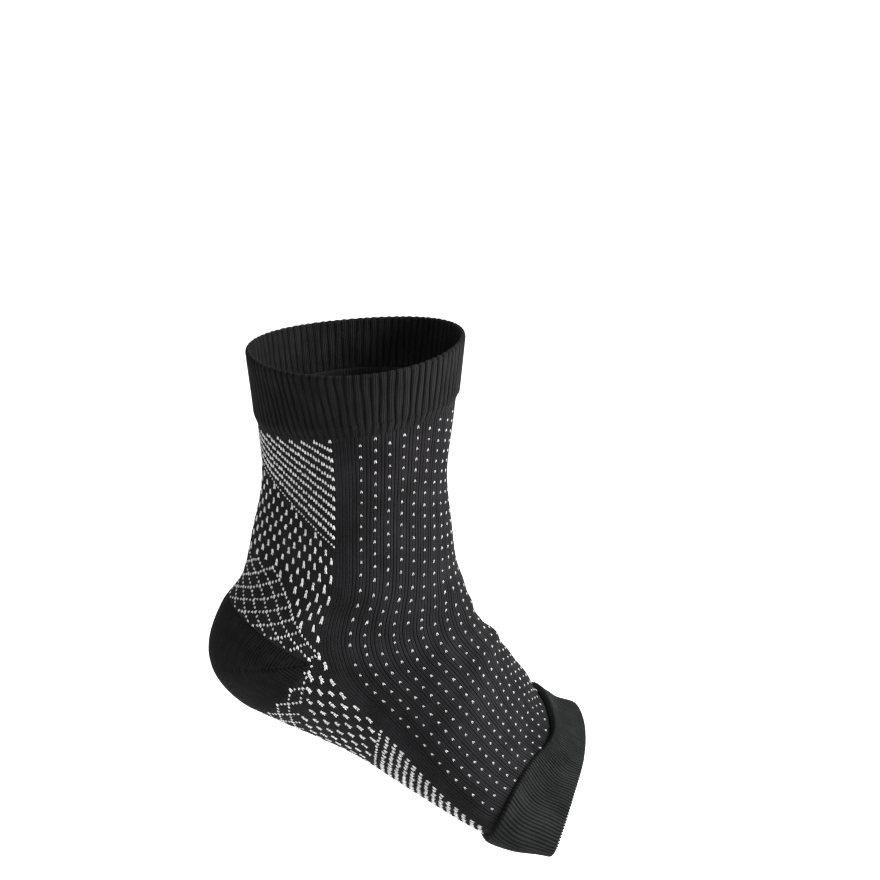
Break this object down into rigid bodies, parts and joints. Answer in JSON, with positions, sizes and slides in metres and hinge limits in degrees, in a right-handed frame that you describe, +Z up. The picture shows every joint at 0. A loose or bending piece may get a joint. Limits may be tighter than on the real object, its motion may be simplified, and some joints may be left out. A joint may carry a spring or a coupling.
{
  "type": "open-toe ankle compression sock",
  "caption": "Open-toe knitted compression sock for the right ankle and foot in its worn form: ribbed cuff, patterned rib tube, plain heel pocket and ribbed band behind the toes.",
  "frame": {"origin": "the middle of the ankle hollow, where the ankle joint of the wearer sits", "axes": "+Z up the leg, out of the cuff's opening; +X towards the toes; -Y to the outer side of the right foot"},
  "size_m": [0.1778, 0.093, 0.2467],
  "materials": {
    "cuff_rib": "charcoal rib knit of nylon and elastane, matt with a faint sheen",
    "body_knit": "charcoal rib knit with light grey stitches knitted in as dots, dashes, stripes and a diamond net",
    "heel_knit": "near-black plain knit, finer than the tube",
    "band_rib": "dark grey fine rib knit, slightly green, turned double",
    "pattern_yarn": "light grey matt yarn of the knitted-in pattern"
  },
  "bodies": {
    "root": {"ankle_cuff": "cuff_rib", "sock_body": "body_knit", "heel_pocket": "heel_knit", "toe_band": "band_rib"}
  },
  "joints": []
}
